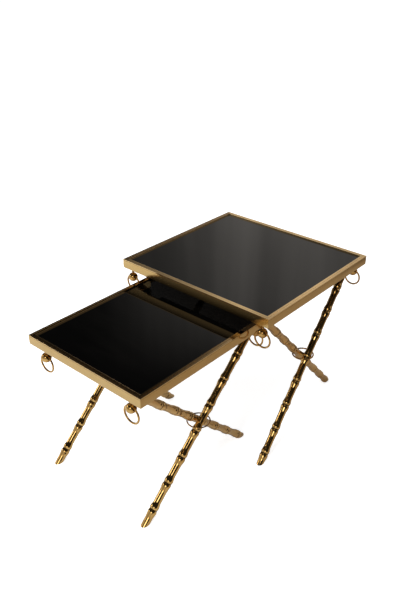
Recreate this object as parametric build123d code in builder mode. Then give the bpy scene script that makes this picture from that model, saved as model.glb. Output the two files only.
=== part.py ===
from build123d import *
import os
from dataclasses import dataclass
from math import sqrt

# A nest of two side tables: mitred brass frames with black glass tops, each standing
# on two pairs of crossed faux-bamboo rods, with a ball finial and a swinging pull
# ring under every corner. The small table is drawn out to the front of the large one.
#
# Millimetres, +X to the right, +Y to the back, +Z up. The origin is on the floor,
# in the middle of the pair as it stands drawn out.

# Overall sizes of the nest
large_width = 500.0
large_depth = 465.0
large_height = 453.0
nest_side_gap = 57.5  # side of the large top to side of the small top
nest_end_gap = 2.5  # small top behind the large top's front and back when nested
nest_drop = 50.0  # small top below the large top
pull_out = 368.5  # front of the small top ahead of the front of the large top

# Frame rail section
rail_height = 26.5
rail_wall = 3.0
face_inset = 0.5  # face behind the lip
face_bow = 0.4  # how far the middle of the face swells
lip_width = 6.0
lip_height = 2.6
lip_edge = 0.6  # rounded edges of the lip
groove_height = 1.2
groove_depth = 1.0
foot_edge = 1.6  # rounded lower edge of the rail
ledge_depth = 10.0  # ledge below the top of the lip
ledge_width = 8.0
ledge_thickness = 2.5

# Glass and its bedding
glass_thickness = 6.0
glass_gap = 0.5  # glass to lip, all round
glass_edge = 0.8
pad_radius = 3.0
pad_thickness = 0.5
pad_corner_inset = 90.0  # pads from the frame's corners

# Corner plates
plate_thickness = 4.0
plate_recess = 2.5  # underside of the plate above the rail's lower edge
plate_reach = 62.0  # from the outer faces of the frame
plate_cut = 20.0  # cut-off inner corner

# Bamboo rods
node_radius = 11.5
neck_radius = 10.2
waist_radius = 9.5
rod_pitch = 71.5
rim_offset_low = 7.5  # lower rim from the neck
rim_offset_high = 6.5  # upper rim from the neck
flare_low = 14.0  # lower rim down to the waist
flare_high = 11.0  # upper rim up to the waist
foot_edge_length = 6.0  # no node closer to the floor than this
foot_radius = 9.3
top_taper = 16.0  # rod narrowed over this length under its plate
top_radius = 8.4

# Where the rods stand, as insets from the outer faces of their own table:
# top x, top y, foot x, foot y, then the node nearest the crossing, up the rod from it
large_outer_top_x = 42.0
large_outer_top_y = 23.3
large_outer_foot_x = 3.2
large_outer_foot_y = 4.4
large_outer_node = -2.2
large_inner_top_x = 32.5
large_inner_top_y = 24.7
large_inner_foot_x = 74.8
large_inner_foot_y = 18.9
large_inner_node = -20.6
small_outer_top_x = 25.4
small_outer_top_y = 41.3
small_outer_foot_x = 27.6
small_outer_foot_y = 19.2
small_outer_node = -25.8
small_inner_top_x = 36.0
small_inner_top_y = 24.3
small_inner_foot_x = 57.0
small_inner_foot_y = 33.9
small_inner_node = 31.3

# Leg screws
screw_radius = 2.5
screw_head_radius = 4.8
screw_grip = 9.0  # length inside the rod
screw_offset = 3.0  # from the rod's centre towards its foot
screw_clearance = 0.25

# Cross pins, spacers and crossing rings
pin_radius = 3.0
pin_bite = 6.0  # blind end inside the outer rod
spacer_radius = 5.5
fit_clearance = 0.05
crossing_ring_radius = 30.5  # outside radius
large_crossing_wire = 2.1
small_crossing_wire = 1.7
large_crossing_rise = 3.0  # ring above the point where the rods cross
small_crossing_rise = 1.5
large_crossing_shift = -1.5  # ring ahead of the point where the rods cross
small_crossing_shift = 2.0
large_crossing_outset = 1.0  # ring outboard of the middle between the rods
small_crossing_outset = 4.0
ring_seat = 1.0  # how deep the ring lies in the end of the pin

# Finials and pull rings
ball_radius = 12.8
bore_drop = 21.5  # ring's bore below the rail
bore_rise = 4.5  # bore above the ball's centre
finial_inset_y = 12.9
large_finial_front_x = 24.0
large_finial_back_x = 30.0
small_finial_front_x = 44.5
small_finial_back_x = 30.0
small_finial_back_y = 19.0
neck_shaft_radius = 3.2
shoulder_radius = 3.8
shoulder_height = 3.0
stud_radius = 2.0
stud_tip = 1.0
nut_flat_radius = 3.5
nut_height = 3.2
pull_ring_radius = 22.5  # to the middle of the wire
pull_wire_radius = 2.4
pull_clearance = 0.3  # wire to the wall of the ball's bore

# Derived levels, measured down from a table's top
rail_inner_face = face_inset + rail_wall
glass_recess = ledge_depth - pad_thickness - glass_thickness
plate_drop = rail_height - plate_recess  # underside of the corner plates

small_width = large_width - 2 * nest_side_gap
small_depth = large_depth - 2 * nest_end_gap
small_height = large_height - nest_drop
large_front_y = (pull_out - large_depth) / 2
small_front_y = large_front_y - pull_out

SIDES = {"left": -1, "right": 1}
ENDS = {"front": -1, "back": 1}


@dataclass(frozen=True)
class Rod:
    """Insets of one bamboo rod at its top and its foot, and its node at the crossing."""

    top_x: float
    top_y: float
    foot_x: float
    foot_y: float
    crossing_node: float


@dataclass(frozen=True)
class Table:
    """One table of the nest: its top's size and place, its rods and its trim."""

    name: str
    width: float
    depth: float
    height: float
    front_y: float
    outer: Rod
    inner: Rod
    crossing_wire: float
    crossing_rise: float
    crossing_shift: float
    crossing_outset: float
    finial_front: tuple[float, float]
    finial_back: tuple[float, float]

    @property
    def middle_y(self) -> float:
        """Middle of the top from front to back."""
        return self.front_y + self.depth / 2

    @property
    def plate_under(self) -> float:
        """Height of the underside of the corner plates, where the rods end."""
        return self.height - plate_drop

    def corner(self, side: int, end: int, inset_x: float, inset_y: float) -> tuple[float, float]:
        """Point in plan, inset from the outer faces at one corner."""
        x = side * (self.width / 2 - inset_x)
        y = self.middle_y + end * (self.depth / 2 - inset_y)
        return (x, y)


large = Table(
    "large", large_width, large_depth, large_height, large_front_y,
    Rod(large_outer_top_x, large_outer_top_y, large_outer_foot_x, large_outer_foot_y, large_outer_node),
    Rod(large_inner_top_x, large_inner_top_y, large_inner_foot_x, large_inner_foot_y, large_inner_node),
    large_crossing_wire, large_crossing_rise, large_crossing_shift, large_crossing_outset,
    (large_finial_front_x, finial_inset_y), (large_finial_back_x, finial_inset_y),
)
small = Table(
    "small", small_width, small_depth, small_height, small_front_y,
    Rod(small_outer_top_x, small_outer_top_y, small_outer_foot_x, small_outer_foot_y, small_outer_node),
    Rod(small_inner_top_x, small_inner_top_y, small_inner_foot_x, small_inner_foot_y, small_inner_node),
    small_crossing_wire, small_crossing_rise, small_crossing_shift, small_crossing_outset,
    (small_finial_front_x, finial_inset_y), (small_finial_back_x, small_finial_back_y),
)


@dataclass(frozen=True)
class RodLine:
    """Centre line of a rod, from the floor up to the underside of its corner plate."""

    foot: Vector
    top: Vector

    @property
    def along(self) -> Vector:
        """Unit vector up the rod."""
        return (self.top - self.foot).normalized()

    @property
    def length(self) -> float:
        """Length from the floor to the corner plate."""
        return (self.top - self.foot).length

    def at_height(self, z: float) -> Vector:
        """Point of the centre line at one height."""
        return self.foot + (self.top - self.foot) * (z / self.top.Z)

    def screw_point(self) -> Vector:
        """Where the leg screw enters the rod, a little towards its foot."""
        towards_foot = Vector(self.foot.X - self.top.X, self.foot.Y - self.top.Y, 0).normalized()
        return self.top + towards_foot * screw_offset


def outer_line(table: Table, side: int) -> RodLine:
    """Outer rod: from the back corner down to the front foot."""
    rod = table.outer
    top = table.corner(side, ENDS["back"], rod.top_x, rod.top_y)
    foot = table.corner(side, ENDS["front"], rod.foot_x, rod.foot_y)
    return RodLine(Vector(*foot, 0), Vector(*top, table.plate_under))


def inner_line(table: Table, side: int) -> RodLine:
    """Inner rod: from the front corner down to the back foot, passing inboard."""
    rod = table.inner
    top = table.corner(side, ENDS["front"], rod.top_x, rod.top_y)
    foot = table.corner(side, ENDS["back"], rod.foot_x, rod.foot_y)
    return RodLine(Vector(*foot, 0), Vector(*top, table.plate_under))


def top_line(table: Table, side: int, end: int) -> RodLine:
    """The rod that ends under one corner."""
    return inner_line(table, side) if end == ENDS["front"] else outer_line(table, side)


def crossing_height(table: Table) -> float:
    """Height at which the two rods of a side cross, seen from the side."""
    outer = outer_line(table, SIDES["right"])
    inner = inner_line(table, SIDES["right"])
    outer_slope = (outer.top.Y - outer.foot.Y) / outer.top.Z
    inner_slope = (inner.top.Y - inner.foot.Y) / inner.top.Z
    return (inner.foot.Y - outer.foot.Y) / (outer_slope - inner_slope)


def crossing_ring_centre(table: Table, side: int) -> Vector:
    """Centre of the ring around the crossing of the two rods."""
    z = crossing_height(table)
    outer = outer_line(table, side).at_height(z)
    inner = inner_line(table, side).at_height(z)
    x = (outer.X + inner.X) / 2 + side * table.crossing_outset
    return Vector(x, outer.Y - table.crossing_shift, z + table.crossing_rise)


def finial_point(table: Table, side: int, end: int) -> Vector:
    """Middle of the bore through a finial's ball, about which its ring swings."""
    inset = table.finial_front if end == ENDS["front"] else table.finial_back
    x, y = table.corner(side, end, *inset)
    return Vector(x, y, table.height - rail_height - bore_drop)


def save(piece: BuildPart, name: str) -> None:
    """Label a finished piece and write it."""
    piece.part.label = name
    export_step(piece.part, f"parts/{name}.step")


def rail(table: Table, inward: Vector, half_span: float, length: float) -> BuildPart:
    """One mitred rail of the frame.

    Its section has a lip over a fine groove, a slightly bowed face with a rounded
    lower edge, and a ledge inside that carries the glass.
    """
    outer_edge = Vector(0, table.middle_y, table.height) - inward * half_span
    section_plane = Plane(origin=outer_edge, x_dir=inward, z_dir=inward.cross(Vector(0, 0, 1)))
    groove_floor = groove_depth
    face_top = -lip_height - groove_height
    face_bottom = -rail_height + foot_edge
    ledge_top = -ledge_depth
    ledge_under = ledge_top - ledge_thickness
    ledge_end = lip_width + ledge_width
    with BuildPart() as piece:
        with BuildSketch(section_plane):
            with BuildLine():
                lip = Polyline((lip_width, -lip_edge), (lip_width - lip_edge, 0), (lip_edge, 0), (0, -lip_edge))
                under_lip = Polyline(
                    lip @ 1, (0, -lip_height), (groove_floor, -lip_height),
                    (groove_floor, face_top), (face_inset, face_top),
                )
                face = ThreePointArc(
                    under_lip @ 1,
                    (face_inset - face_bow, (face_top + face_bottom) / 2),
                    (face_inset, face_bottom),
                )
                lower_edge = ThreePointArc(
                    face @ 1,
                    (face_inset + foot_edge * (1 - sqrt(0.5)), -rail_height + foot_edge * (1 - sqrt(0.5))),
                    (face_inset + foot_edge, -rail_height),
                )
                Polyline(
                    lower_edge @ 1, (rail_inner_face, -rail_height), (rail_inner_face, ledge_under),
                    (ledge_end, ledge_under), (ledge_end, ledge_top), (lip_width, ledge_top), lip @ 0,
                )
            make_face()
        extrude(amount=length / 2, both=True)
        for way in (-1, 1):
            mitre_plane = Plane(
                origin=section_plane.from_local_coords((0, 0, way * length / 2)),
                z_dir=inward + section_plane.z_dir * way,
            )
            split(bisect_by=mitre_plane, keep=Keep.BOTTOM)
    return piece


def glass_top(table: Table) -> BuildPart:
    """Glass pane with polished edges, lying inside the lip."""
    border = 2 * (lip_width + glass_gap)
    with BuildPart() as piece:
        with BuildSketch(Plane.XY.offset(table.height - glass_recess)):
            with Locations((0, table.middle_y)):
                Rectangle(table.width - border, table.depth - border)
        extrude(amount=-glass_thickness)
        chamfer(piece.faces().filter_by(Axis.Z).edges(), length=glass_edge)
    return piece


def glass_pads(table: Table) -> BuildPart:
    """Thin clear discs between the ledge and the glass, two on each rail."""
    seat = lip_width + glass_gap + pad_radius
    with BuildPart() as piece:
        with BuildSketch(Plane.XY.offset(table.height - ledge_depth)):
            for side in SIDES.values():
                for end in ENDS.values():
                    with Locations(
                        table.corner(side, end, pad_corner_inset, seat),
                        table.corner(side, end, seat, pad_corner_inset),
                    ):
                        Circle(pad_radius)
        extrude(amount=pad_thickness)
    return piece


def corner_plate(table: Table, side: int, end: int) -> BuildPart:
    """Plate brazed into a corner, drilled for the finial and countersunk for the leg screw."""
    span = plate_reach - rail_inner_face
    middle = rail_inner_face + span / 2
    screw = top_line(table, side, end).screw_point()
    stud = finial_point(table, side, end)
    with BuildPart() as piece:
        with BuildSketch(Plane.XY.offset(table.plate_under)):
            with Locations(table.corner(side, end, middle, middle)):
                Rectangle(span, span)
            with Locations((stud.X, stud.Y)):
                Circle(stud_radius + fit_clearance, mode=Mode.SUBTRACT)
        extrude(amount=plate_thickness)
        inboard = piece.edges().filter_by(Axis.Z).sort_by_distance((0, table.middle_y, table.height))[0]
        chamfer(inboard, length=plate_cut)
        with Locations((screw.X, screw.Y, table.plate_under + plate_thickness)):
            CounterSinkHole(
                radius=screw_radius + screw_clearance,
                counter_sink_radius=screw_head_radius + screw_clearance,
                depth=plate_thickness,
                counter_sink_angle=90,
            )
    return piece


def pin_start(table: Table, side: int) -> Vector:
    """Inboard end of a cross pin, where the crossing ring is seated in it."""
    centre = crossing_ring_centre(table, side)
    ring_inside = crossing_ring_radius - 2 * table.crossing_wire
    reach = sqrt(ring_inside**2 - table.crossing_shift**2) + ring_seat
    return Vector(centre.X - side * reach, centre.Y + table.crossing_shift, centre.Z)


def pin_end(table: Table, side: int) -> Vector:
    """Outboard end of a cross pin, blind inside the outer rod."""
    start = pin_start(table, side)
    return Vector(outer_line(table, side).at_height(start.Z).X + side * pin_bite, start.Y, start.Z)


def pin_length(table: Table, side: int) -> float:
    """Length of a cross pin."""
    return (pin_end(table, side) - pin_start(table, side)).length


def leg(table: Table, side: int, line: RodLine, crossing_node: float) -> BuildPart:
    """Bamboo rod with double-rimmed nodes, cut level at the floor and under its plate."""
    across = line.along.cross(Vector(0, 0, 1)).normalized()
    rod_plane = Plane(origin=line.foot, x_dir=across, z_dir=across.cross(line.along))
    overrun = 2 * node_radius
    crossing_along = line.length * crossing_height(table) / line.top.Z
    profile = []
    node = (crossing_along + crossing_node) % rod_pitch - rod_pitch
    while node < line.length - rim_offset_high - flare_high - top_taper:
        profile += [
            (waist_radius, node - rim_offset_low - flare_low),
            (node_radius, node - rim_offset_low),
            (neck_radius, node),
            (node_radius, node + rim_offset_high),
            (waist_radius, node + rim_offset_high + flare_high),
        ]
        node += rod_pitch
    outline = [(0, -overrun), (foot_radius, -overrun), (foot_radius, 0)]
    outline += [point for point in profile if point[1] > foot_edge_length]
    outline += [
        (waist_radius, line.length - top_taper),
        (top_radius, line.length),
        (top_radius, line.length + overrun),
        (0, line.length + overrun),
    ]
    screw = line.screw_point()
    with BuildPart() as piece:
        with BuildSketch(rod_plane):
            with BuildLine():
                Polyline(*outline, close=True)
            make_face()
        revolve(axis=Axis(line.foot, line.along))
        split(bisect_by=Plane.XY, keep=Keep.TOP)
        split(bisect_by=Plane.XY.offset(table.plate_under), keep=Keep.BOTTOM)
        with Locations((screw.X, screw.Y, table.plate_under)):
            Hole(screw_radius + fit_clearance, depth=screw_grip)
        with BuildSketch(Plane(origin=pin_end(table, side), z_dir=(-side, 0, 0))):
            Circle(pin_radius + fit_clearance)
        extrude(amount=pin_length(table, side) + overrun, mode=Mode.SUBTRACT)
    return piece


def leg_screws(table: Table) -> BuildPart:
    """Countersunk screws that hold the rods under the corner plates."""
    head_depth = screw_head_radius - screw_radius
    plate_top = table.plate_under + plate_thickness
    with BuildPart() as piece:
        for side in SIDES.values():
            for end in ENDS.values():
                point = top_line(table, side, end).screw_point()
                axis = Axis((point.X, point.Y, plate_top), (0, 0, -1))
                with BuildSketch(Plane(origin=axis.position, x_dir=(1, 0, 0), z_dir=(0, -1, 0))):
                    with BuildLine():
                        Polyline(
                            (0, 0), (screw_head_radius, 0), (screw_radius, -head_depth),
                            (screw_radius, -plate_thickness - screw_grip),
                            (0, -plate_thickness - screw_grip), close=True,
                        )
                    make_face()
                revolve(axis=axis)
    return piece


def crossing_ring(table: Table, side: int) -> BuildPart:
    """Level ring around the place where the two rods of a side cross."""
    with BuildPart() as piece:
        with Locations(crossing_ring_centre(table, side)):
            Torus(crossing_ring_radius - table.crossing_wire, table.crossing_wire)
    return piece


def cross_pin(table: Table, side: int) -> BuildPart:
    """Pin through both rods, with the crossing ring seated in its inboard end."""
    with BuildPart() as piece:
        with BuildSketch(Plane(origin=pin_start(table, side), z_dir=(side, 0, 0))):
            Circle(pin_radius)
        extrude(amount=pin_length(table, side))
        with Locations(crossing_ring_centre(table, side)):
            Torus(
                crossing_ring_radius - table.crossing_wire,
                table.crossing_wire + fit_clearance,
                mode=Mode.SUBTRACT,
            )
    return piece


def cross_spacers(table: Table, legs: list[Part]) -> BuildPart:
    """Sleeves on the cross pins between the rods, their ends coped to the rods' curves."""
    with BuildPart() as piece:
        for side in SIDES.values():
            start = pin_start(table, side)
            inner_x = inner_line(table, side).at_height(start.Z).X
            outer_x = outer_line(table, side).at_height(start.Z).X
            with BuildSketch(Plane(origin=(inner_x, start.Y, start.Z), z_dir=(side, 0, 0))):
                Circle(spacer_radius)
                Circle(pin_radius + fit_clearance, mode=Mode.SUBTRACT)
            extrude(amount=abs(outer_x - inner_x))
        add(legs, mode=Mode.SUBTRACT)
    return piece


def finial(table: Table, side: int, end: int) -> BuildPart:
    """Ball finial on a shouldered shaft, with the bore that its pull ring swings in.

    The bore widens towards both mouths along an arc, the path of the ring's wire
    swung right round, so that a closed ring turns freely in a thin hole.
    """
    bore = finial_point(table, side, end)
    ball = bore - Vector(0, 0, bore_rise)
    turning_plane = Plane(origin=ball, x_dir=(1, 0, 0), z_dir=(0, -1, 0))
    bore_plane = Plane(origin=bore, x_dir=(1, 0, 0), z_dir=(0, -1, 0))
    plate_level = table.plate_under - ball.Z
    shaft_start = sqrt(ball_radius**2 - neck_shaft_radius**2)
    stud_end = plate_level + plate_thickness + nut_height + stud_tip
    bore_arc = pull_ring_radius - pull_wire_radius - pull_clearance
    mouth_x = ball_radius + pull_clearance
    mouth_radius = pull_ring_radius - sqrt(bore_arc**2 - mouth_x**2)
    throat_radius = pull_ring_radius - bore_arc
    with BuildPart() as piece:
        with BuildSketch(turning_plane):
            with BuildLine():
                ThreePointArc((0, -ball_radius), (ball_radius, 0), (neck_shaft_radius, shaft_start))
                Polyline(
                    (neck_shaft_radius, shaft_start),
                    (neck_shaft_radius, plate_level - shoulder_height),
                    (shoulder_radius, plate_level - shoulder_height),
                    (shoulder_radius, plate_level),
                    (stud_radius, plate_level),
                    (stud_radius, stud_end),
                    (0, stud_end),
                    (0, -ball_radius),
                )
            make_face()
        revolve(axis=Axis(ball, (0, 0, 1)))
        with BuildSketch(bore_plane):
            with BuildLine():
                Polyline((-mouth_x, mouth_radius), (-mouth_x, 0), (mouth_x, 0), (mouth_x, mouth_radius))
                ThreePointArc((mouth_x, mouth_radius), (0, throat_radius), (-mouth_x, mouth_radius))
            make_face()
        revolve(axis=Axis(bore, (1, 0, 0)), mode=Mode.SUBTRACT)
    return piece


def finial_nuts(table: Table) -> BuildPart:
    """Nuts on the finials' studs, on top of the corner plates."""
    with BuildPart() as piece:
        with BuildSketch(Plane.XY.offset(table.plate_under + plate_thickness)):
            for side in SIDES.values():
                for end in ENDS.values():
                    stud = finial_point(table, side, end)
                    with Locations((stud.X, stud.Y)):
                        RegularPolygon(nut_flat_radius, side_count=6, major_radius=False)
                        Circle(stud_radius + fit_clearance, mode=Mode.SUBTRACT)
        extrude(amount=nut_height)
    return piece


def pull_ring(table: Table, side: int, end: int) -> BuildPart:
    """Closed wire ring hanging in the bore of a finial's ball."""
    bore = finial_point(table, side, end)
    with BuildPart(Plane(origin=(bore.X, bore.Y, bore.Z - pull_ring_radius), z_dir=(0, 1, 0))) as piece:
        Torus(pull_ring_radius, pull_wire_radius)
    return piece


def build_top(table: Table) -> None:
    """Frame, glass and corner plates of one table."""
    half_width, half_depth = table.width / 2, table.depth / 2
    save(rail(table, Vector(0, 1, 0), half_depth, table.width), f"{table.name}_rail_front")
    save(rail(table, Vector(0, -1, 0), half_depth, table.width), f"{table.name}_rail_back")
    save(rail(table, Vector(1, 0, 0), half_width, table.depth), f"{table.name}_rail_left")
    save(rail(table, Vector(-1, 0, 0), half_width, table.depth), f"{table.name}_rail_right")
    save(glass_top(table), f"{table.name}_glass_top")
    save(glass_pads(table), f"{table.name}_glass_pads")
    for side_name, side in SIDES.items():
        for end_name, end in ENDS.items():
            save(corner_plate(table, side, end), f"{table.name}_corner_plate_{end_name}_{side_name}")


def build_legs(table: Table) -> None:
    """Crossed rods of both sides, with the pins, spacers and rings at the crossings."""
    save(leg_screws(table), f"{table.name}_leg_screws")
    legs = []
    for side_name, side in SIDES.items():
        outer_leg = leg(table, side, outer_line(table, side), table.outer.crossing_node)
        inner_leg = leg(table, side, inner_line(table, side), table.inner.crossing_node)
        save(outer_leg, f"{table.name}_leg_outer_{side_name}")
        save(inner_leg, f"{table.name}_leg_inner_{side_name}")
        save(cross_pin(table, side), f"{table.name}_cross_pin_{side_name}")
        save(crossing_ring(table, side), f"{table.name}_crossing_ring_{side_name}")
        legs += [outer_leg.part, inner_leg.part]
    save(cross_spacers(table, legs), f"{table.name}_cross_spacers")


def build_trim(table: Table) -> None:
    """Finials under the corners, with their nuts and their pull rings."""
    save(finial_nuts(table), f"{table.name}_finial_nuts")
    for side_name, side in SIDES.items():
        for end_name, end in ENDS.items():
            save(finial(table, side, end), f"{table.name}_finial_{end_name}_{side_name}")
            save(pull_ring(table, side, end), f"{table.name}_pull_ring_{end_name}_{side_name}")


def main() -> None:
    """Build both tables and write every piece."""
    os.makedirs("parts", exist_ok=True)
    for table in (large, small):
        build_top(table)
        build_legs(table)
        build_trim(table)


if __name__ == "__main__":
    main()
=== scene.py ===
"""Dresses a nest of two side tables: brass frames, black glass, faux-bamboo rods and pull rings."""

import logging
import math
from dataclasses import dataclass
from enum import Enum
from typing import Callable, Iterator

import bmesh
import bpy
from mathutils import Matrix, Vector


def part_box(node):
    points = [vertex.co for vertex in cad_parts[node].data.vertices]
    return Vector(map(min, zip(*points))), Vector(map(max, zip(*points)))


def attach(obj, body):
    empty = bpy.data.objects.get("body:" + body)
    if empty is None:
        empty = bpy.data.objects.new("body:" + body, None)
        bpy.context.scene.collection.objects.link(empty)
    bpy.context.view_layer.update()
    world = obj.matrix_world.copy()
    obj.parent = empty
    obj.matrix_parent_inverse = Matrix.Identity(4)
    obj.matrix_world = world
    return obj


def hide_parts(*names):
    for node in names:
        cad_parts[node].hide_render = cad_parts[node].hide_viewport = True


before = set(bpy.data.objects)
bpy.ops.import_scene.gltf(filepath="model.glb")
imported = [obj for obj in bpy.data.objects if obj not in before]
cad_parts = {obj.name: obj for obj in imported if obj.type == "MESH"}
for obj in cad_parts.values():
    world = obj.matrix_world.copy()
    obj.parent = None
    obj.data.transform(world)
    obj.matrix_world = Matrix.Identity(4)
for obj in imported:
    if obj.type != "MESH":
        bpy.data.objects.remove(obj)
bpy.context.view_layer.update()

log = logging.getLogger("nesting_tables")

Colour = tuple[float, float, float]
Socket = bpy.types.NodeSocket
Value = float | bpy.types.NodeSocket

MM = 0.001
DEGREES = 180.0 / math.pi
WHITE: Colour = (1.0, 1.0, 1.0)
BRIGHT_LIP: Colour = (1.0, 0.72, 0.37)
# painted shade: the darker lip colour painted on the table's left side
SHADED_LIP: Colour = (0.34, 0.22, 0.10)


class Table(Enum):
    """The large table, or the small one that goes under it."""

    LARGE = "large"
    SMALL = "small"


class Side(Enum):
    """Left or right side of a table, seen from the front."""

    LEFT = "left"
    RIGHT = "right"


class End(Enum):
    """Front or back of a table."""

    FRONT = "front"
    BACK = "back"


class Run(Enum):
    """Which of the two rods of a side: outer falls forward, inner falls backward."""

    OUTER = "outer"
    INNER = "inner"


class Finish(Enum):
    """The finishes of a table's pieces."""

    FRAME_LONG = "frame brass brushed from left to right"
    FRAME_DEEP = "frame brass brushed from front to back"
    BEAD = "polished brass"
    CAST = "bright cast brass"
    MATT_CAST = "matt cast brass"
    TURNED = "turned brass"
    WIRE = "drawn brass"
    DARK_WIRE = "darkened drawn brass"
    GLASS = "black glass"
    PAD = "clear pads"
    STEEL = "plated steel"


Finishes = dict[Finish, bpy.types.Material]


def corners() -> Iterator[tuple[End, Side]]:
    """Goes round the corners of a table.

    Returns:
        The end and the side of each corner.
    """
    for end in End:
        for side in Side:
            yield end, side


# --- Shader building ---------------------------------------------------------


class Graph:
    """Adds and joins the nodes of one node tree."""

    def __init__(self, tree: bpy.types.NodeTree) -> None:
        """Starts on a node tree."""
        self.tree = tree

    def add(self, kind: str, settings: dict[str, object] | None = None, **values: object) -> bpy.types.Node:
        """Adds a node, sets it and gives or links its inputs.

        Args:
            kind: the node's type name without its ShaderNode prefix.
            settings: properties of the node itself.
            **values: input values or sockets, by input name with _ for a space, or in0, in1...

        Returns:
            The new node.
        """
        node = self.tree.nodes.new("ShaderNode" + kind)
        for name, value in (settings or {}).items():
            setattr(node, name, value)
        for name, value in values.items():
            key = int(name[2:]) if name[:2] == "in" and name[2:].isdigit() else name.replace("_", " ")
            socket = node.inputs[key]
            if isinstance(value, bpy.types.NodeSocket):
                self.tree.links.new(value, socket)
            elif isinstance(value, tuple) and len(value) == 3 and socket.type == "RGBA":
                socket.default_value = (*value, 1.0)
            else:
                socket.default_value = value
        return node

    def math(self, operation: str, *inputs: Value, clamp: bool = False) -> Socket:
        """Adds a Math node.

        Args:
            operation: the node's operation.
            *inputs: values or sockets, in order.
            clamp: whether the result is kept between 0 and 1.

        Returns:
            Its result socket.
        """
        values = {f"in{index}": value for index, value in enumerate(inputs)}
        return self.add("Math", {"operation": operation, "use_clamp": clamp}, **values).outputs[0]

    def plus(self, first: Value, second: Value, clamp: bool = False) -> Socket:
        """Sum of two values, kept between 0 and 1 if clamped."""
        return self.math("ADD", first, second, clamp=clamp)

    def minus(self, first: Value, second: Value) -> Socket:
        """First value less the second."""
        return self.math("SUBTRACT", first, second)

    def times(self, first: Value, second: Value, clamp: bool = False) -> Socket:
        """Product of two values, kept between 0 and 1 if clamped."""
        return self.math("MULTIPLY", first, second, clamp=clamp)

    def over(self, first: Value, second: Value) -> Socket:
        """First value divided by the second."""
        return self.math("DIVIDE", first, second)

    def greater(self, first: Value, second: Value) -> Socket:
        """The greater of two values."""
        return self.math("MAXIMUM", first, second)

    def rest(self, share: Value) -> Socket:
        """What a share leaves of 1."""
        return self.minus(1.0, share)

    def ramp(self, value: Socket, low: float, high: float) -> Socket:
        """Smooth step from 0 at low to 1 at high.

        Args:
            value: the socket to map.
            low: value that gives 0.
            high: value that gives 1.

        Returns:
            The mapped socket.
        """
        settings = {"interpolation_type": "SMOOTHSTEP"}
        return self.add("MapRange", settings, Value=value, From_Min=low, From_Max=high).outputs[0]

    def mix(self, factor: Value, first: Colour | Socket, second: Colour | Socket) -> Socket:
        """Mixes two colours.

        Args:
            factor: share of the second colour.
            first: a colour or a socket.
            second: a colour or a socket.

        Returns:
            The mixed colour's socket.
        """
        node = self.tree.nodes.new("ShaderNodeMix")
        node.data_type = "RGBA"
        for index, value in ((0, factor), (6, first), (7, second)):
            if isinstance(value, bpy.types.NodeSocket):
                self.tree.links.new(value, node.inputs[index])
            elif isinstance(value, tuple):
                node.inputs[index].default_value = (*value, 1.0)
            else:
                node.inputs[index].default_value = value
        return node.outputs[2]

    def place(self) -> Socket:
        """Where a point lies, in metres in the tables' frame."""
        return self.add("TexCoord").outputs["Object"]

    def axes(self, vector: Socket) -> bpy.types.NodeOutputs:
        """The X, Y and Z sockets of a vector."""
        return self.add("SeparateXYZ", Vector=vector).outputs

    def noise(self, place: Socket, scale: Value, detail: float, **values: float) -> Socket:
        """Adds a noise texture.

        Args:
            place: where it is looked up.
            scale: its scale.
            detail: its detail.
            **values: its other inputs.

        Returns:
            Its value, between 0 and 1.
        """
        return self.add("TexNoise", Vector=place, Scale=scale, Detail=detail, **values).outputs["Fac"]

    def bump(self, height: Socket, strength: float, distance: float) -> Socket:
        """Turns a height into a normal.

        Args:
            height: the height.
            strength: how far the normal follows it.
            distance: what a height of 1 stands for, in metres.

        Returns:
            The normal.
        """
        return self.add("Bump", Strength=strength, Distance=distance, Height=height).outputs[0]

    def plug(self, node: bpy.types.Node, **links: Socket) -> None:
        """Links sockets into a node's inputs, by input name with _ for a space."""
        for name, socket in links.items():
            self.tree.links.new(socket, node.inputs[name.replace("_", " ")])


def group_sockets(
    tree: bpy.types.NodeTree, inputs: dict[str, float | Colour | None], outputs: dict[str, str]
) -> None:
    """Declares a node group's sockets.

    Args:
        tree: the group.
        inputs: default of each input; a tuple makes a colour, None a vector.
        outputs: socket type of each output.
    """
    for name, default in inputs.items():
        if default is None:
            tree.interface.new_socket(name, in_out="INPUT", socket_type="NodeSocketVector")
        elif isinstance(default, tuple):
            socket = tree.interface.new_socket(name, in_out="INPUT", socket_type="NodeSocketColor")
            socket.default_value = (*default, 1.0)
        else:
            socket = tree.interface.new_socket(name, in_out="INPUT", socket_type="NodeSocketFloat")
            socket.default_value = default
    for name, kind in outputs.items():
        tree.interface.new_socket(name, in_out="OUTPUT", socket_type=kind)


def fill_tarnish(name: str) -> bpy.types.NodeTree:
    """Cloudy tarnish: drifts between a clean and a tarnished metal colour and dulls it.

    Args:
        name: the group's name.

    Returns:
        The group, with Color, Roughness and Height outputs.
    """
    tree = bpy.data.node_groups.new(name, "ShaderNodeTree")
    group_sockets(
        tree,
        {
            "Vector": None, "Clean": (0.6, 0.42, 0.18), "Tarnished": (0.3, 0.18, 0.07),
            "Amount": 0.5, "Scale": 20.0, "Roughness": 0.2, "Spread": 0.1,
        },
        {"Color": "NodeSocketColor", "Roughness": "NodeSocketFloat", "Height": "NodeSocketFloat"},
    )
    graph = Graph(tree)
    given = tree.nodes.new("NodeGroupInput").outputs
    cloud = graph.noise(given["Vector"], given["Scale"], 5.0, Roughness=0.62)
    fine = graph.noise(given["Vector"], graph.times(given["Scale"], 14.0), 3.0, Roughness=0.6)
    share = graph.times(graph.ramp(cloud, 0.38, 0.68), given["Amount"], clamp=True)
    drift = graph.times(graph.minus(fine, 0.5), given["Spread"])
    dulling = graph.times(share, given["Spread"])
    graph.plug(
        tree.nodes.new("NodeGroupOutput"), Color=graph.mix(share, given["Clean"], given["Tarnished"]),
        Roughness=graph.plus(graph.plus(given["Roughness"], drift), dulling, clamp=True), Height=fine,
    )
    return tree


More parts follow.
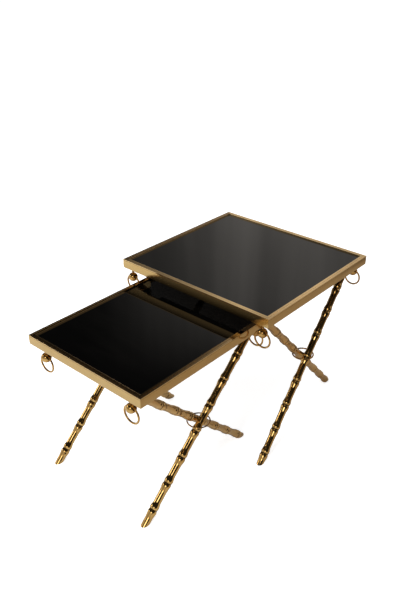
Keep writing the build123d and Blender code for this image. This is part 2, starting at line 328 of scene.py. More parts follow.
def fill_brushing(name: str) -> bpy.types.NodeTree:
    """Fine brushed lines along a piece, as a height and a brightness drift.

    Args:
        name: the group's name.

    Returns:
        The group, with Height and Drift outputs.
    """
    tree = bpy.data.node_groups.new(name, "ShaderNodeTree")
    outputs = {"Height": "NodeSocketFloat", "Drift": "NodeSocketFloat"}
    group_sockets(tree, {"Vector": None, "Scale": 900.0}, outputs)
    graph = Graph(tree)
    given = tree.nodes.new("NodeGroupInput").outputs
    lines = graph.noise(given["Vector"], given["Scale"], 3.0, Roughness=0.7)
    broad = graph.noise(given["Vector"], graph.times(given["Scale"], 0.12), 2.0)
    graph.plug(tree.nodes.new("NodeGroupOutput"), Height=lines, Drift=broad)
    return tree


def add_group(
    graph: Graph, name: str, fill: Callable[[str], bpy.types.NodeTree], **values: object
) -> bpy.types.NodeOutputs:
    """Adds a shared node group, building it the first time.

    Args:
        graph: the graph to add it to.
        name: the group's name.
        fill: builds the group.
        **values: the group's inputs, by name.

    Returns:
        The group's outputs.
    """
    group = bpy.data.node_groups.get(name) or fill(name)
    return graph.add("Group", {"node_tree": group}, **values).outputs


def new_material(name: str, metallic: float) -> tuple[bpy.types.Material, Graph, bpy.types.Node]:
    """Makes a material with one Principled shader.

    Args:
        name: the material's name.
        metallic: 1 for a metal, 0 for anything else.

    Returns:
        The material, its graph and its shader node.
    """
    material = bpy.data.materials.new(name)
    material.use_nodes = True
    material.node_tree.nodes.clear()
    graph = Graph(material.node_tree)
    shader = graph.add("BsdfPrincipled", Metallic=metallic)
    graph.add("OutputMaterial", Surface=shader.outputs[0])
    return material, graph, shader


# --- Finishes ----------------------------------------------------------------


@dataclass(frozen=True)
class BrushedBrass:
    """Frame brass: faces brushed along the rail, the lip polished, the groove under it painted dark as
    painted shade.

    On rails that run from front to back the lip is painted darker on the left and dark along its outer
    edge, both painted shade; on rails that run from left to right the lip's outer side takes the bright lip
    colour as a painted highlight.
    """

    name: str
    along_x: bool
    top: float
    half: float
    lip: Colour
    shaded_lip: Colour = SHADED_LIP
    clean: Colour = (0.575, 0.40, 0.17)
    tarnished: Colour = (0.50, 0.335, 0.13)
    # painted shade: colour of the dark band painted in the groove under the lip
    groove: Colour = (0.12, 0.07, 0.03)
    roughness: float = 0.14
    polish: float = 0.07
    # painted highlight: on rails that run left to right the lip's outer side takes the bright lip colour
    lip_highlight_from: float = 2.4 * MM
    lip_highlight_full: float = 1.2 * MM
    lip_highlight_share: float = 0.8
    groove_below: float = 3.1 * MM
    groove_half: float = 0.6 * MM
    # painted shade: a dark strip along the lip's outer edge on rails that run front to back
    edge_shade_from: float = 1.7 * MM
    edge_shade_full: float = 1.1 * MM
    edge_shade_share: float = 0.7

    def material(self) -> bpy.types.Material:
        """Builds the material.

        Returns:
            The material.
        """
        material, graph, shader = new_material(self.name, metallic=1.0)
        place = graph.place()
        stretch = (0.02, 1.0, 1.0) if self.along_x else (1.0, 0.02, 1.0)
        lengthwise = graph.add("Mapping", Vector=place, Scale=stretch).outputs[0]
        brushing = add_group(graph, "brushing", fill_brushing, Vector=lengthwise, Scale=900.0)
        tarnish = add_group(
            graph, "tarnish", fill_tarnish, Vector=place, Clean=self.clean, Tarnished=self.tarnished,
            Amount=0.55, Scale=9.0, Roughness=self.roughness, Spread=0.08,
        )
        spot = graph.axes(place)
        upward = graph.axes(graph.add("NewGeometry").outputs["Normal"])["Z"]
        on_lip = graph.ramp(upward, 0.2, 0.5)
        # painted shade: a dark band painted along the groove under the lip
        dark = graph.math("COMPARE", spot["Z"], self.top - self.groove_below, self.groove_half)
        if self.along_x:
            lip = self.lip
            # painted highlight: the lip's outer side painted in the bright lip colour
            side = graph.ramp(spot["Z"], self.top - self.lip_highlight_from, self.top - self.lip_highlight_full)
            on_lip = graph.greater(on_lip, graph.times(side, self.lip_highlight_share))
        else:
            # painted shade: the left rail's lip is painted in the darker lip colour
            lip = graph.mix(graph.math("LESS_THAN", spot["X"], 0.0), self.lip, self.shaded_lip)
            # painted shade: darkens the lip along its outer edge
            reach = graph.math("ABSOLUTE", spot["X"])
            edge = graph.ramp(reach, self.half - self.edge_shade_from, self.half - self.edge_shade_full)
            dark = graph.greater(dark, graph.times(graph.times(edge, on_lip), self.edge_shade_share))
        drift = graph.times(graph.minus(brushing["Drift"], 0.5), 0.10)
        rough = graph.plus(tarnish["Roughness"], drift, clamp=True)
        graph.plug(
            shader, Base_Color=graph.mix(dark, graph.mix(on_lip, tarnish["Color"], lip), self.groove),
            Roughness=graph.minus(rough, graph.times(on_lip, self.polish)),
            Normal=graph.bump(brushing["Height"], 0.12, 0.2 * MM),
        )
        return material


@dataclass(frozen=True)
class CastBrass:
    """Cast brass of the rods: bright on the waists and rims, dark in the necks and dents, and painted
    darker towards the top as painted shade under the table top.
    """

    name: str
    clean: Colour = (0.70, 0.46, 0.165)
    tarnished: Colour = (0.51, 0.29, 0.09)
    recess: Colour = (0.05, 0.022, 0.008)
    roughness: float = 0.09
    # painted shade: the rods darken towards their tops, under the table top
    shade_from: float = 0.20
    shade_to: float = 0.44
    shade_share: float = 0.8

    def material(self) -> bpy.types.Material:
        """Builds the material, which darkens where the mesh's relief is low.

        Returns:
            The material.
        """
        material, graph, shader = new_material(self.name, metallic=1.0)
        place = graph.place()
        tarnish = add_group(
            graph, "tarnish", fill_tarnish, Vector=place, Clean=self.clean, Tarnished=self.tarnished,
            Amount=0.5, Scale=22.0, Roughness=self.roughness, Spread=0.04,
        )
        relief = graph.add("Attribute", {"attribute_name": "relief"}).outputs["Fac"]
        worn = graph.plus(relief, graph.times(tarnish["Height"], 0.2))
        hollow = graph.rest(graph.ramp(worn, 0.30, 0.85))
        # painted shade: darker towards the top of the rods
        height = graph.axes(place)["Z"]
        painted_shade = graph.times(graph.ramp(height, self.shade_from, self.shade_to), self.shade_share)
        metal = graph.mix(painted_shade, tarnish["Color"], self.tarnished)
        graph.plug(
            shader, Base_Color=graph.mix(hollow, metal, self.recess),
            Roughness=graph.plus(tarnish["Roughness"], graph.times(hollow, 0.3)),
            Normal=graph.bump(tarnish["Height"], 0.03, 0.3 * MM),
        )
        return material


@dataclass(frozen=True)
class TurnedBrass:
    """Turned or drawn brass with painted shade above a level, which by default is higher than every piece;
    on the finials it is the painted dark reflection of the rail's underside on their upper halves.
    """

    name: str
    clean: Colour = (0.60, 0.38, 0.13)
    tarnished: Colour = (0.32, 0.15, 0.04)
    # painted shade: colour painted above the level, the dark reflection of the rail's underside
    dark: Colour = (0.17, 0.075, 0.022)
    amount: float = 0.6
    roughness: float = 0.10
    upper_shade_from: float = 9.0
    upper_shade_rise: float = 9.0 * MM
    upper_shade_share: float = 0.85

    def material(self) -> bpy.types.Material:
        """Builds the material.

        Returns:
            The material.
        """
        material, graph, shader = new_material(self.name, metallic=1.0)
        place = graph.place()
        tarnish = add_group(
            graph, "tarnish", fill_tarnish, Vector=place, Clean=self.clean, Tarnished=self.tarnished,
            Amount=self.amount, Scale=60.0, Roughness=self.roughness, Spread=0.10,
        )
        # painted shade: darker above the level, on the finials' upper halves
        above = graph.ramp(graph.axes(place)["Z"], self.upper_shade_from, self.upper_shade_from + self.upper_shade_rise)
        above = graph.times(above, self.upper_shade_share)
        graph.plug(
            shader, Base_Color=graph.mix(above, tarnish["Color"], self.dark),
            Roughness=tarnish["Roughness"], Normal=graph.bump(tarnish["Height"], 0.12, 0.2 * MM),
        )
        return material


@dataclass(frozen=True)
class BeadBrass:
    """Polished brass of the bead along the glass, painted darker on the left as painted shade."""

    name: str
    half: float
    clean: Colour = BRIGHT_LIP
    painted_shade: Colour = SHADED_LIP
    shade: float = 0.75
    roughness: float = 0.07
    # painted shade: where the bead turns darker along the table's left side
    shade_from: float = 14.0 * MM
    shade_full: float = 12.0 * MM

    def material(self) -> bpy.types.Material:
        """Builds the material.

        Returns:
            The material.
        """
        material, graph, shader = new_material(self.name, metallic=1.0)
        place = graph.place()
        tarnish = add_group(
            graph, "tarnish", fill_tarnish, Vector=place, Clean=self.clean,
            Tarnished=tuple(self.shade * channel for channel in self.clean),
            Amount=0.6, Scale=24.0, Roughness=self.roughness, Spread=0.05,
        )
        # painted shade: the bead is painted darker along the table's left side
        leftwards = graph.times(graph.axes(place)["X"], -1.0)
        on_left = graph.ramp(leftwards, self.half - self.shade_from, self.half - self.shade_full)
        graph.plug(
            shader, Base_Color=graph.mix(on_left, tarnish["Color"], self.painted_shade),
            Roughness=tarnish["Roughness"], Normal=graph.bump(tarnish["Height"], 0.08, 0.2 * MM),
        )
        return material


@dataclass(frozen=True)
class BlackGlass:
    """Opaque black glass, a little wavy, with the faint smears of wiping."""

    name: str
    colour: Colour = (0.0006, 0.0006, 0.0006)
    smear: Colour = (0.0022, 0.0020, 0.0018)
    roughness: float = 0.022
    smear_roughness: float = 0.04
    refraction: float = 1.42

    def material(self) -> bpy.types.Material:
        """Builds the material.

        Returns:
            The material.
        """
        material, graph, shader = new_material(self.name, metallic=0.0)
        shader.inputs["IOR"].default_value = self.refraction
        place = graph.place()
        wiping = graph.add("Mapping", Vector=place, Rotation=(0.0, 0.0, 0.5), Scale=(3.0, 14.0, 1.0))
        streaks = graph.noise(wiping.outputs[0], 1.6, 4.0, Roughness=0.55)
        share = graph.times(graph.ramp(streaks, 0.42, 0.72), 0.5)
        wave = graph.noise(place, 6.0, 1.0)
        dust = graph.noise(place, 700.0, 2.0)
        graph.plug(
            shader, Base_Color=graph.mix(share, self.colour, self.smear),
            Roughness=graph.plus(self.roughness, graph.times(share, self.smear_roughness)),
            Normal=graph.bump(graph.plus(wave, graph.times(dust, 0.002)), 0.05, 1.0 * MM),
        )
        return material


@dataclass(frozen=True)
class PlainFitting:
    """Small hidden fittings: plated steel or clear soft pads."""

    name: str
    metallic: float
    roughness: float
    colour: Colour = (0.6, 0.6, 0.58)
    shade: float = 0.7

    def material(self) -> bpy.types.Material:
        """Builds the material.

        Returns:
            The material.
        """
        material, graph, shader = new_material(self.name, self.metallic)
        cloud = graph.noise(graph.place(), 240.0, 4.0)
        darker = tuple(self.shade * channel for channel in self.colour)
        graph.plug(
            shader, Base_Color=graph.mix(cloud, self.colour, darker),
            Roughness=graph.plus(self.roughness, graph.times(cloud, 0.12), clamp=True),
            Normal=graph.bump(cloud, 0.1, 0.2 * MM),
        )
        return material


def common_finishes() -> Finishes:
    """Builds the materials that both tables share.

    Returns:
        Materials by finish.
    """
    made = {
        Finish.CAST: CastBrass("cast_bamboo_brass"),
        Finish.MATT_CAST: CastBrass(
            "matt_bamboo_brass", clean=(0.74, 0.51, 0.23), tarnished=(0.60, 0.38, 0.15), roughness=0.22
        ),
        Finish.WIRE: TurnedBrass("drawn_brass_wire", clean=(0.58, 0.35, 0.11), amount=0.75, roughness=0.14),
        Finish.DARK_WIRE: TurnedBrass(
            "darkened_brass_wire", clean=(0.54, 0.33, 0.12), tarnished=(0.24, 0.12, 0.04),
            amount=0.7, roughness=0.14,
        ),
        Finish.GLASS: BlackGlass("black_glass"),
        Finish.PAD: PlainFitting("clear_pad", metallic=0.0, roughness=0.35),
        Finish.STEEL: PlainFitting("plated_steel", metallic=1.0, roughness=0.25),
    }
    return {finish: kind.material() for finish, kind in made.items()}


def table_finishes(table: Table) -> Finishes:
    """Builds the materials that lie by one table's own sizes.

    Args:
        table: the table.

    Returns:
        Materials by finish.
    """
    name = table.value
    low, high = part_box(f"{name}_rail_front")
    # painted shade: the small table's lip and bead are darker copies of the large table's, for the shade
    # under the large top
    lip = BRIGHT_LIP if table is Table.LARGE else (0.80, 0.56, 0.28)
    bead = BRIGHT_LIP if table is Table.LARGE else (0.62, 0.42, 0.20)
    # the finials' painted shade starts at their middles
    ball_middle = low[2] - 17.0 * MM
    made = {
        Finish.FRAME_LONG: BrushedBrass(f"{name}_frame_brass_long", True, high[2], high[0], lip),
        Finish.FRAME_DEEP: BrushedBrass(f"{name}_frame_brass_deep", False, high[2], high[0], lip),
        Finish.BEAD: BeadBrass(f"{name}_bead_brass", high[0], clean=bead),
        Finish.TURNED: TurnedBrass(f"{name}_turned_brass", upper_shade_from=ball_middle),
    }
    return {finish: kind.material() for finish, kind in made.items()}


def dress(node: str, material: bpy.types.Material) -> None:
    """Gives a CAD node its finish and reports it.

    Args:
        node: the node's name.
        material: its material.
    """
    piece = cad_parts[node]
    piece.data.materials.clear()
    piece.data.materials.append(material)
    log.info("%s: %s", node, material.name)


def soften(node: str, width: float = 0.4 * MM) -> None:
    """Rounds the sharp edges of a CAD node a little.

    Args:
        node: the node's name.
        width: how far the rounding reaches from the edge.
    """
    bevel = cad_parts[node].modifiers.new("softened_edges", "BEVEL")
    bevel.width = width
    bevel.segments = 2
    bevel.limit_method = "ANGLE"
    bevel.angle_limit = math.radians(25.0)
    bevel.harden_normals = True


# --- The tables --------------------------------------------------------------


@dataclass
class TableTop:
    """Mitred frame with its glass, pads and corner plates."""

    table: Table

    def dress(self, finishes: Finishes) -> None:
        """Finishes every piece of the top.

        Args:
            finishes: materials by finish.
        """
        name = self.table.value
        for end in End:
            dress(f"{name}_rail_{end.value}", finishes[Finish.FRAME_LONG])
            soften(f"{name}_rail_{end.value}")
        for side in Side:
            dress(f"{name}_rail_{side.value}", finishes[Finish.FRAME_DEEP])
        dress(f"{name}_glass_top", finishes[Finish.GLASS])
        dress(f"{name}_glass_pads", finishes[Finish.PAD])
        for end, side in corners():
            dress(f"{name}_corner_plate_{end.value}_{side.value}", finishes[Finish.FRAME_LONG])


@dataclass
class InnerBead:
    """Polished bead on the inner edge of a frame's lip, over the border of the glass.

    Each point of its section is how far it lies inward from the frame's face and above the lip, in mm.
    """

    table: Table
    section: tuple[tuple[float, float], ...] = (
        (6.3, -3.4), (6.3, -0.05), (11.8, -0.05), (12.3, -0.2), (12.5, -0.55), (12.5, -3.4),
    )

    def build(self) -> bpy.types.Object:
        """Runs the section around the frame with a mitre at each corner.

        Returns:
            The bead.
        """
        name = f"{self.table.value}_inner_bead"
        (left, front, _), (right, _, top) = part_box(f"{self.table.value}_rail_front")
        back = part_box(f"{self.table.value}_rail_back")[1][1]
        verts, faces = [], []
        for inward, rise in self.section:
            step = inward * MM
            outline = (
                (left + step, front + step), (right - step, front + step),
                (right - step, back - step), (left + step, back - step),
            )
            verts.extend((x, y, top + rise * MM) for x, y in outline)
        count = len(self.section)
        for ring in range(count):
            low, high = 4 * ring, 4 * ((ring + 1) % count)
            for corner in range(4):
                onward = (corner + 1) % 4
                faces.append((low + corner, low + onward, high + onward, high + corner))
        mesh = bpy.data.meshes.new(name)
        mesh.from_pydata(verts, [], faces)
        work = bmesh.new()
        work.from_mesh(mesh)
        bmesh.ops.recalc_face_normals(work, faces=work.faces)
        work.to_mesh(mesh)
        work.free()
        bead = bpy.data.objects.new(name, mesh)
        bpy.context.collection.objects.link(bead)
        return bead

    def place(self, material: bpy.types.Material) -> None:
        """Builds the bead, finishes it and sets it on its table.

        Args:
            material: the bead's material.
        """
        bead = self.build()
        bead.data.materials.append(material)
        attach(bead, f"{self.table.value}_table")
        log.info("%s: %s", bead.name, material.name)


def ease(value: float) -> float:
    """Smooth step from 0 to 1, level at both ends."""
    value = min(max(value, 0.0), 1.0)
    return value * value * (3 - 2 * value)


def bell(distance: float, width: float) -> float:
    """Soft bump, 1 at no distance."""
    return math.exp(-((distance / width) ** 2))


@dataclass
class BambooRod:
    """One faux-bamboo rod, in the place and outline of its CAD node.

    Sizes named with _mm are in millimetres from the middle of a node, the others in metres.
    """

    table: Table
    run: Run
    side: Side
    first_node: float
    pitch: float = 71.5 * MM
    waist: float = 9.5 * MM
    rim: float = 11.5 * MM
    neck: float = 10.2 * MM
    foot: float = 9.3 * MM
    foot_rise: float = 9.0 * MM
    top: float = 8.4 * MM
    top_taper: float = 16.0 * MM
    bare_top: float = 34.0 * MM
    overrun: float = 24.0 * MM
    low_rim_mm: float = -6.8
    high_rim_mm: float = 6.0
    low_flare_mm: float = 16.0
    high_flare_mm: float = 14.0
    inner_flare: float = 1.6
    groove_mm: float = 1.5
    bud_place_mm: float = 11.0
    bud_depth: float = 1.4 * MM
    channel_from_mm: float = 8.5
    channel_length_mm: float = 9.0
    channel_depth: float = 0.8 * MM
    unevenness: float = 0.07 * MM
    around: int = 48

    @property
    def node_name(self) -> str:
        """Name of the CAD node that the rod stands for."""
        return f"{self.table.value}_leg_{self.run.value}_{self.side.value}"

    @property
    def bud_turn(self) -> float:
        """Turn about the rod at which its buds sit, mirrored on the left."""
        inner = 2.84 if self.table is Table.SMALL else 1.7
        right = inner if self.run is Run.INNER else 2.6
        return right if self.side is Side.RIGHT else math.pi - right

    def centre_line(self) -> tuple[Vector, Vector]:
        """Finds the rod's foot and top from the level cuts of its solid.

        Returns:
            The centre of the foot's cut and of the top's cut.
        """
        low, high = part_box(self.node_name)
        points = [vertex.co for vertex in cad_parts[self.node_name].data.vertices]
        ends = []
        for level in (low[2], high[2]):
            cut = [point for point in points if abs(point.z - level) < 0.02 * MM]
            middle = [(min(p[i] for p in cut) + max(p[i] for p in cut)) / 2 for i in (0, 1)]
            ends.append(Vector((*middle, level)))
        return ends[0], ends[1]

    def node_radius(self, gap: float) -> float:
        """Radius of the rod near one of its nodes.

        Args:
            gap: distance past the node's middle, in mm.

        Returns:
            The radius, before buds and channels.
        """
        swell = self.rim - self.waist
        if gap < self.low_rim_mm:
            return self.waist + swell * ease((gap - self.low_rim_mm) / self.low_flare_mm + 1.0)
        if gap > self.high_rim_mm:
            flare = self.high_flare_mm * (self.inner_flare if self.run is Run.INNER else 1.0)
            return self.waist + swell * ease((self.high_rim_mm - gap) / flare + 1.0)
        depth = abs(gap / (self.low_rim_mm if gap < 0 else self.high_rim_mm))
        return self.neck + (self.rim - self.neck) * ease(depth * 1.05 - 0.05) ** 0.8

    def base_radius(self, along: float, gap: float, has_node: bool, length: float) -> float:
        """Radius of the rod with the tapers at its ends.

        Args:
            along: distance from the foot.
            gap: distance past the nearest node's middle, in mm.
            has_node: whether the rod has that node.
            length: the rod's length between its cuts.

        Returns:
            The radius, before buds and channels.
        """
        base = self.node_radius(gap) if has_node else self.waist
        base = min(base, self.foot + (self.rim - self.foot) * ease(along / self.foot_rise))
        share = min(max((along - length) / self.top_taper + 1.0, 0.0), 1.0)
        return base - (self.waist - self.top) * share

    def bud_and_channel(self, gap: float, away: float) -> tuple[float, float]:
        """How much of a node's bud and of the channel beyond it lies at a point.

        Args:
            gap: distance past the node's middle, in mm.
            away: distance around the rod from the bud's middle, in mm.

        Returns:
            The share of the bud's depth and of the channel's.
        """
        growth = gap if self.run is Run.INNER else -gap
        bud = bell(away, 2.3) * bell(growth - self.bud_place_mm, 2.4)
        past = -growth - self.channel_from_mm
        fading = math.exp(-max(past, 0.0) / self.channel_length_mm)
        return bud, bell(away, 2.4) * ease(past / 2.0 + 0.5) * fading

    def stations(self, length: float) -> list[float]:
        """Distances from the foot at which the rod's outline is taken.

        Args:
            length: the rod's length between its cuts.

        Returns:
            Rising distances that run past both cuts.
        """
        close = [-26.0, -23.0, -20.5, -18.5, -17.0, -15.5, -14.0, -12.5, -11.3, -10.4]
        close += [step * 0.5 for step in range(-19, 18)]
        close += [9.7, 10.8, 12.0, 13.3, 14.7, 16.2, 18.0, 20.0, 23.0, 26.0]
        found = {-self.overrun, length + self.overrun}
        node = self.first_node - self.pitch
        while node < length + 26 * MM:
            found.update(node + step * MM for step in close)
            found.update(node + self.pitch / 12 * i for i in (5, 6, 7))
            node += self.pitch
        return sorted(value for value in found if -self.overrun <= value <= length + self.overrun)

    def build(self) -> bpy.types.Object:
        """Makes the rod's mesh and cuts it level at both ends.

        Returns:
            The rod.
        """
        foot, top = self.centre_line()
        axis = (top - foot).normalized()
        length = (top - foot).length
        across = axis.cross(Vector((0, 0, 1))).normalized()
        over = across.cross(axis).normalized()
        verts, relief = [], []
        stations = self.stations(length)
        for along in stations:
            index = round((along - self.first_node) / self.pitch)
            node = self.first_node + index * self.pitch
            gap = (along - node) / MM
            has_node = node < length - self.bare_top
            base = self.base_radius(along, gap, has_node, length)
            bud_turn = self.bud_turn + (0.0 if self.run is Run.INNER else math.pi * (index % 2))
            groove = bell(gap, self.groove_mm) if has_node else 0.0
            for step in range(self.around):
                turn = 2 * math.pi * step / self.around
                away = math.remainder(turn - bud_turn, 2 * math.pi) * base / MM
                bud, channel = self.bud_and_channel(gap, away) if has_node else (0.0, 0.0)
                radius = base - self.bud_depth * bud - self.channel_depth * channel
                radius += self.unevenness * math.sin(3 * turn + 9 * along / self.pitch)
                relief.append(1.0 - min(max(groove, 1.7 * bud, 0.9 * channel), 1.0))
                offset = across * math.cos(turn) + over * math.sin(turn)
                verts.append(foot + axis * along + offset * radius)
        faces = []
        for ring in range(len(stations) - 1):
            low, high = ring * self.around, (ring + 1) * self.around
            for step in range(self.around):
                following = (step + 1) % self.around
                faces.append((low + step, low + following, high + following, high + step))
        mesh = bpy.data.meshes.new(self.node_name + "_bamboo")
        mesh.from_pydata(verts, [], faces)
        attribute = mesh.attributes.new("relief", "FLOAT", "POINT")
        attribute.data.foreach_set("value", relief)
        self.cut_level(mesh, foot.z, top.z)
        mesh.shade_smooth()
        rod = bpy.data.objects.new(self.node_name + "_bamboo", mesh)
        bpy.context.collection.objects.link(rod)
        return rod

    @staticmethod
    def cut_level(mesh: bpy.types.Mesh, low: float, high: float) -> None:
        """Cuts a mesh level at two heights and closes it there.

        Args:
            mesh: the mesh to cut.
            low: height of the lower cut.
            high: height of the upper cut.
        """
        work = bmesh.new()
        work.from_mesh(mesh)
        for height, outward in ((low, -1.0), (high, 1.0)):
            everything = work.verts[:] + work.edges[:] + work.faces[:]
            bmesh.ops.bisect_plane(
                work, geom=everything, plane_co=(0, 0, height), plane_no=(0, 0, outward), clear_outer=True
            )
            rim = [e for e in work.edges if e.is_boundary and abs(e.verts[0].co.z - height) < 1e-6]
            cap = bmesh.ops.contextual_create(work, geom=rim)["faces"]
            for face in cap:
                face.smooth = False
                for edge in face.edges:
                    edge.smooth = False
        bmesh.ops.recalc_face_normals(work, faces=work.faces)
        work.to_mesh(mesh)
        work.free()

    def place(self, material: bpy.types.Material) -> None:
        """Builds the rod, finishes it and sets it on its table in its solid's stead.

        Args:
            material: the rod's material.
        """
        rod = self.build()
        rod.data.materials.append(material)
        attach(rod, f"{self.table.value}_table")
        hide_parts(self.node_name)
        log.info("%s: %s", rod.name, material.name)


@dataclass
class CrossedLegs:
    """The two pairs of crossed rods of one table, with what joins them."""

    table: Table
    outer_first_node: float
    inner_first_node: float

    def place(self, finishes: Finishes) -> None:
        """Builds the rods and finishes the pins, spacers, screws and crossing rings.

        Args:
            finishes: materials by finish.
        """
        name = self.table.value
        for side in Side:
            outer = BambooRod(self.table, Run.OUTER, side, self.outer_first_node)
            inner = BambooRod(self.table, Run.INNER, side, self.inner_first_node)
            outer.place(finishes[Finish.CAST])
            inner.place(finishes[Finish.MATT_CAST])
            dress(f"{name}_cross_pin_{side.value}", finishes[Finish.WIRE])
            dress(f"{name}_crossing_ring_{side.value}", finishes[Finish.DARK_WIRE])
        dress(f"{name}_cross_spacers", finishes[Finish.WIRE])
        dress(f"{name}_leg_screws", finishes[Finish.STEEL])


@dataclass
class CornerTrim:
    """Ball finials, their nuts and the pull rings that hang in them."""

    table: Table

    def dress(self, finishes: Finishes) -> None:
        """Finishes the finials, nuts and rings.

        Args:
            finishes: materials by finish.
        """
        name = self.table.value
        for end, side in corners():
            dress(f"{name}_finial_{end.value}_{side.value}", finishes[Finish.TURNED])
            dress(f"{name}_pull_ring_{end.value}_{side.value}", finishes[Finish.WIRE])
        dress(f"{name}_finial_nuts", finishes[Finish.STEEL])


# --- Studio ------------------------------------------------------------------


@dataclass(frozen=True)
class Lobe:
    """Soft-edged oval of light on the walls of the room, in degrees.

    It fades between two squared shares of its size.
    """

    heading: float
    height: float
    half_width: float
    half_height: float
    level: float
    fade: tuple[float, float] = (0.2, 1.6)

    def strength(self, graph: Graph, heading: Socket, height: Socket) -> Socket:
        """Builds the light's strength in one direction.

        Args:
            graph: the graph to build in.
            heading: the direction's heading, from the front towards the right.
            height: its height above the horizon.

        Returns:
            The strength.
        """
        across = graph.over(graph.minus(heading, self.heading), self.half_width)
        up = graph.over(graph.minus(height, self.height), self.half_height)
        reach = graph.plus(graph.times(across, across), graph.times(up, up))
        return graph.times(graph.rest(graph.ramp(reach, *self.fade)), self.level)


@dataclass(frozen=True)
class Backdrop:
    """Pale cloth hung in folds behind the tables, in degrees from the back towards the left."""

    top: tuple[float, float] = (29.0, 37.5)
    left: tuple[float, float] = (36.0, 53.0)
    right: tuple[float, float] = (-75.0, -45.0)
    fold_width: float = 4.5
    fold_height: float = 45.0
    level: float = 0.36
    fold_level: float = 0.235

    def strength(self, graph: Graph, way: bpy.types.NodeOutputs, height: Socket) -> Socket:
        """Builds the cloth's brightness in one direction.

        Args:
            graph: the graph to build in.
            way: the direction's X, Y and Z.
            height: its height above the horizon.

        Returns:
            The strength.
        """
        turned = graph.times(graph.math("ARCTAN2", graph.times(way["X"], -1.0), way["Y"]), DEGREES)
        low = graph.rest(graph.ramp(height, *self.top))
        to_left = graph.rest(graph.ramp(turned, *self.left))
        to_right = graph.ramp(turned, *self.right)
        across, up = graph.over(turned, self.fold_width), graph.over(height, self.fold_height)
        place = graph.add("CombineXYZ", X=across, Y=up).outputs[0]
        folds = graph.ramp(graph.noise(place, 1.0, 3.0, Distortion=0.4), 0.3, 0.7)
        cloth = graph.plus(self.level, graph.times(folds, self.fold_level))
        return graph.times(graph.times(low, graph.times(to_left, to_right)), cloth)


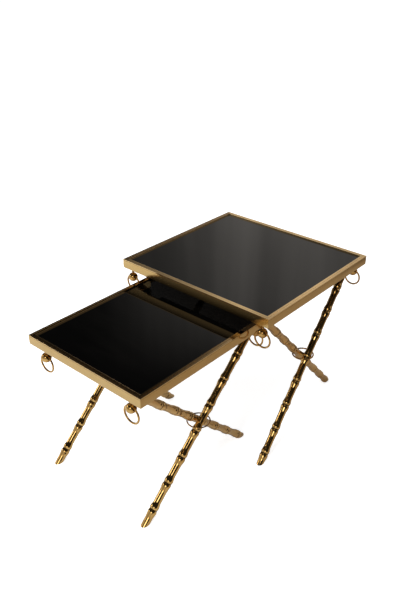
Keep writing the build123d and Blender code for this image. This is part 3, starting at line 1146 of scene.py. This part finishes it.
@dataclass
class Studio:
    """White floor, camera, three soft lights and the room that the brass and glass mirror."""

    floor_radius: float = 30.0
    floor_glow: float = 0.70
    lens: float = 39.5
    camera_place: tuple[float, float, float] = (1.02395, -1.17325, 1.26881)
    azimuth: float = 40.93
    elevation: float = 29.84
    roll: float = 0.13
    ambient: float = 0.45
    room_level: float = 0.02
    mirror_tint: Colour = (1.0, 0.94, 0.87)
    backdrop: Backdrop = Backdrop()
    lobes: tuple[Lobe, ...] = (
        Lobe(-2.0, 0.0, 68.0, 36.0, 0.40, fade=(0.6, 1.2)),
        Lobe(-62.0, 22.0, 6.5, 9.0, 6.0),
        Lobe(-42.0, 27.0, 9.0, 9.0, 0.45),
        Lobe(26.0, 31.0, 9.0, 9.0, 5.5),
        Lobe(20.0, 6.0, 14.0, 18.0, 0.35),
        Lobe(-50.0, 4.0, 12.0, 18.0, 0.20),
        Lobe(143.0, 36.0, 30.0, 18.0, 0.8),
        Lobe(0.0, 90.0, 400.0, 20.0, 0.4),
    )

    def floor_material(self) -> bpy.types.Material:
        """Builds the floor's material: white to the camera; in reflections a painted shadow darkens it
        towards the right-back, and more far off there.

        Returns:
            The material.
        """
        material, graph, shader = new_material("studio_white", metallic=0.0)
        path = graph.add("LightPath").outputs
        seen = graph.greater(path["Is Camera Ray"], path["Is Transmission Ray"])
        grain = graph.add("TexNoise", Scale=3.0, Detail=3.0).outputs["Fac"]
        pale = graph.mix(grain, (0.80, 0.80, 0.80), (0.78, 0.78, 0.78))
        spot = graph.axes(graph.place())
        # painted shadow: in reflections only, the floor darkens towards the right-back and more far off
        # there
        away = graph.plus(graph.times(spot["X"], 0.655), graph.times(spot["Y"], 0.755))
        mirrored = graph.times(graph.ramp(away, -0.5, 0.5), path["Is Glossy Ray"])
        pale = graph.mix(mirrored, pale, (0.52, 0.43, 0.34))
        far = graph.times(graph.ramp(away, 1.2, 1.8), mirrored)
        shader.inputs["Roughness"].default_value = 1.0
        shader.inputs["Specular IOR Level"].default_value = 0.0
        shader.inputs["Emission Color"].default_value = (*WHITE, 1.0)
        graph.plug(
            shader, Base_Color=graph.mix(far, pale, (0.14, 0.11, 0.085)),
            Emission_Strength=graph.times(seen, self.floor_glow),
        )
        return material

    def floor(self) -> None:
        """Makes the floor."""
        mesh = bpy.data.meshes.new("studio_floor")
        work = bmesh.new()
        bmesh.ops.create_circle(work, cap_ends=True, radius=self.floor_radius, segments=96)
        work.to_mesh(mesh)
        work.free()
        floor = bpy.data.objects.new("studio_floor", mesh)
        bpy.context.collection.objects.link(floor)
        floor.data.materials.append(self.floor_material())

    def camera(self) -> None:
        """Sets up the camera, level but for a slight roll."""
        data = bpy.data.cameras.new("camera")
        data.lens = self.lens
        data.sensor_width = 36.0
        data.clip_end = 100.0
        camera = bpy.data.objects.new("camera", data)
        bpy.context.collection.objects.link(camera)
        turn = Matrix.Rotation(math.radians(self.azimuth), 4, "Z")
        tilt = Matrix.Rotation(math.radians(90.0 - self.elevation), 4, "X")
        roll = Matrix.Rotation(math.radians(self.roll), 4, "Z")
        camera.matrix_world = Matrix.Translation(self.camera_place) @ turn @ tilt @ roll
        bpy.context.scene.camera = camera

    def light(self, name: str, place: Vector, aim: Vector, size: tuple[float, float], power: float) -> None:
        """Adds one soft light, which reflections don't show.

        Args:
            name: the light's name.
            place: where it stands.
            aim: what it points at.
            size: its width and height.
            power: its power in watts.
        """
        data = bpy.data.lights.new(name, "AREA")
        data.shape = "RECTANGLE"
        data.size, data.size_y = size
        data.energy = power
        light = bpy.data.objects.new(name, data)
        bpy.context.collection.objects.link(light)
        light.visible_glossy = False
        facing = (aim - place).to_track_quat("-Z", "Y")
        light.matrix_world = Matrix.Translation(place) @ facing.to_matrix().to_4x4()

    def lights(self) -> None:
        """Adds two tall lights, on the left and in front, and a broad one above."""
        aim = Vector((0.0, 0.0, 0.25))
        self.light("left_strip", aim + 2.6 * Vector((-0.86, -0.40, 0.32)), aim, (0.35, 1.5), 22.0)
        self.light("front_strip", aim + 2.6 * Vector((0.20, -0.74, 0.64)), aim, (0.35, 1.6), 26.0)
        self.light("overhead", Vector((-0.6, -0.6, 3.2)), aim, (2.4, 2.4), 40.0)

    def room(self) -> None:
        """Sets the world: white to the camera, a dark room with lamps and a backdrop in reflections."""
        world = bpy.data.worlds.new("studio")
        world.use_nodes = True
        world.node_tree.nodes.clear()
        bpy.context.scene.world = world
        graph = Graph(world.node_tree)
        path = graph.add("LightPath").outputs
        way = graph.axes(graph.add("TexCoord").outputs["Generated"])
        height = graph.times(graph.math("ARCSINE", way["Z"]), DEGREES)
        heading = graph.math("ARCTAN2", way["X"], graph.times(way["Y"], -1.0))
        heading = graph.times(heading, DEGREES)
        mirrored: Value = self.room_level
        for lobe in self.lobes:
            mirrored = graph.plus(mirrored, lobe.strength(graph, heading, height))
        mirrored = graph.plus(mirrored, self.backdrop.strength(graph, way, height))
        change = graph.times(path["Is Glossy Ray"], graph.minus(mirrored, self.ambient))
        level = graph.plus(self.ambient, change)
        seen = graph.greater(path["Is Camera Ray"], path["Is Transmission Ray"])
        strength = graph.plus(level, graph.times(seen, graph.rest(level)))
        tint = graph.mix(path["Is Glossy Ray"], WHITE, self.mirror_tint)
        background = graph.add("Background", Color=tint, Strength=strength)
        graph.add("OutputWorld", Surface=background.outputs[0])

    def build(self) -> None:
        """Builds the whole studio."""
        self.camera()
        self.floor()
        self.lights()
        self.room()
        bpy.context.scene.view_settings.view_transform = "Standard"
        log.info("studio: %d lobes of light in its reflections", len(self.lobes))


def main() -> None:
    """Dresses both tables and sets up the studio."""
    common = common_finishes()
    first_nodes = {Table.LARGE: (27.5 * MM, 75.0 * MM), Table.SMALL: (39.3 * MM, 26.0 * MM)}
    for table, (outer_node, inner_node) in first_nodes.items():
        finishes = common | table_finishes(table)
        TableTop(table).dress(finishes)
        InnerBead(table).place(finishes[Finish.BEAD])
        CrossedLegs(table, outer_node, inner_node).place(finishes)
        CornerTrim(table).dress(finishes)
    Studio().build()


if __name__ == "__main__":
    logging.basicConfig(level=logging.INFO, format="%(message)s")
    main()
